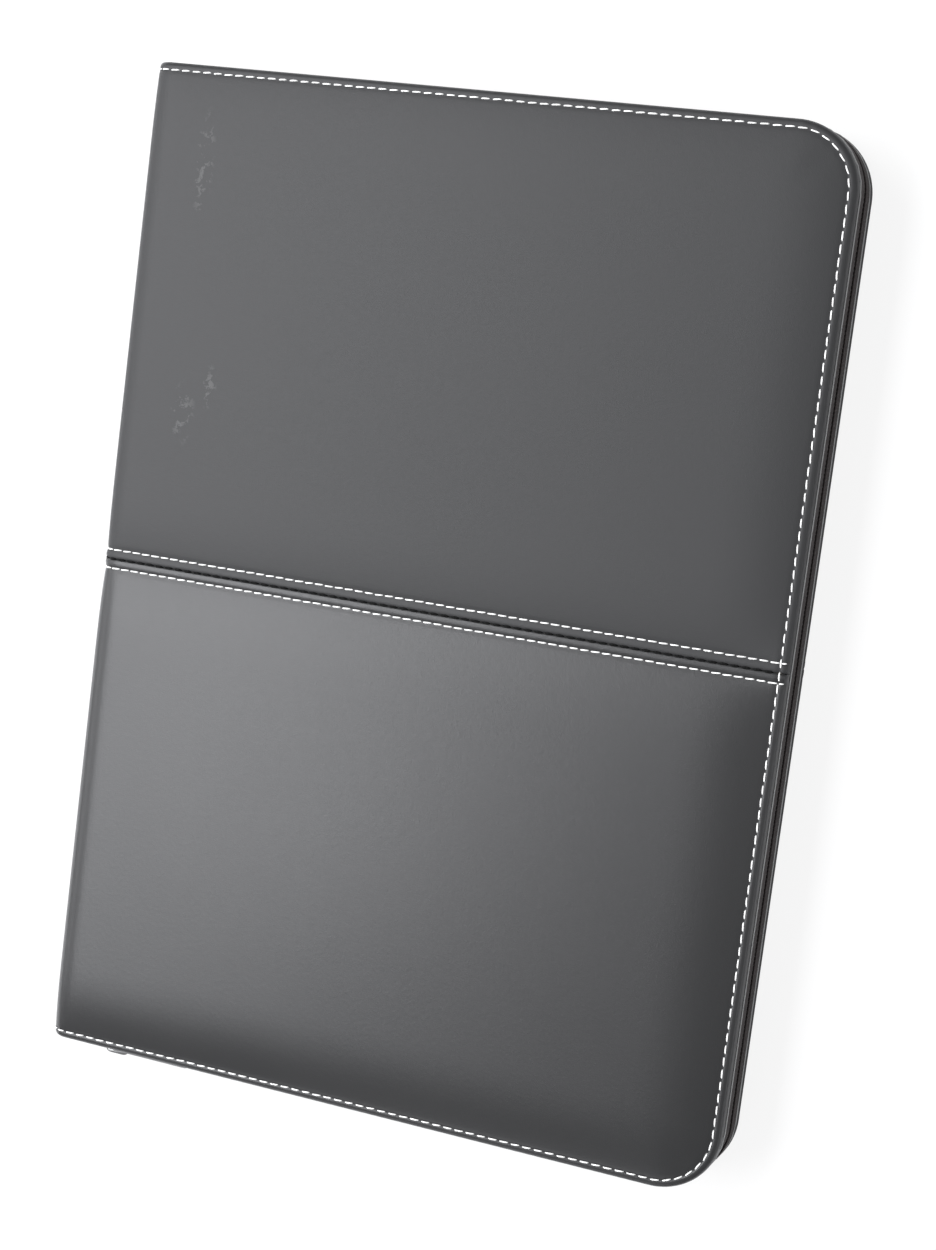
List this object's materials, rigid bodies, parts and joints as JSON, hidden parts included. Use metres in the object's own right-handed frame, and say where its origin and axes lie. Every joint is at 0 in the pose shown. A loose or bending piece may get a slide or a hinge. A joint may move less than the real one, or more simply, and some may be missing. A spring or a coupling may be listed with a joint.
{
  "type": "zipped document folder",
  "caption": "Padded leather-look document folder with a zip round its open edges, contrast-stitched edges and seam, inner pockets and a pen loop.",
  "frame": {"origin": "centre of the closed folder's outline, at the surface it lies on", "axes": "+Z out of the front cover, +Y along the height to the top edge, +X from the spine to the fore-edge"},
  "size_m": [0.244, 0.3442, 0.0285],
  "materials": {
    "leather": "smooth fine-grained dark grey leather-look, satin",
    "foam": "soft padding foam",
    "board": "grey-brown board",
    "lining": "black woven lining",
    "pocket": "thin black leather-look",
    "thread": "white sewing thread",
    "tape": "woven black zip tape",
    "coil": "black nylon coil",
    "metal": "bright plated zip metal"
  },
  "bodies": {
    "back_cover": {"back_leather_upper": "leather", "back_leather_lower": "leather", "back_foam_upper": "foam", "back_foam_lower": "foam", "back_board": "board", "back_lining": "lining", "back_edge_thread": "thread", "back_seam_thread_upper": "thread", "back_seam_thread_lower": "thread", "back_zip_tape": "tape", "back_zip_coil": "coil", "pad_pocket": "pocket", "pen_loop": "pocket"},
    "spine": {"spine_leather_upper": "leather", "spine_leather_lower": "leather", "spine_edge_thread_upper": "thread", "spine_edge_thread_lower": "thread", "spine_seam_thread_upper": "thread", "spine_seam_thread_lower": "thread", "spine_board": "board", "spine_lining": "lining"},
    "front_cover": {"front_leather_upper": "leather", "front_leather_lower": "leather", "front_foam_upper": "foam", "front_foam_lower": "foam", "front_board": "board", "front_lining": "lining", "front_edge_thread": "thread", "front_seam_thread_upper": "thread", "front_seam_thread_lower": "thread", "front_zip_tape": "tape", "front_zip_coil": "coil", "document_pocket": "pocket", "card_pocket_1": "pocket", "card_pocket_2": "pocket", "card_pocket_3": "pocket"},
    "slider": {"zip_slider": "metal"},
    "pull": {"zip_pull": "metal"}
  },
  "joints": [
    {"name": "spine_fold", "type": "hinge", "parent": "back_cover", "child": "spine", "pos_m": [-0.122, 0, 0.0015], "axis": [0, -1, 0], "range_deg": [0, 90]},
    {"name": "cover_open", "type": "hinge", "parent": "spine", "child": "front_cover", "pos_m": [-0.122, 0, 0.0257], "axis": [0, -1, 0], "range_deg": [0, 90]},
    {"name": "zip_slide", "type": "slide", "parent": "back_cover", "child": "slider", "axis": [1, 0, 0], "range_m": [0, 0.192]},
    {"name": "pull_swing", "type": "hinge", "parent": "slider", "child": "pull", "pos_m": [-0.1, -0.1701, 0.0136], "axis": [0, 0, -1], "range_deg": [0, 180]}
  ]
}
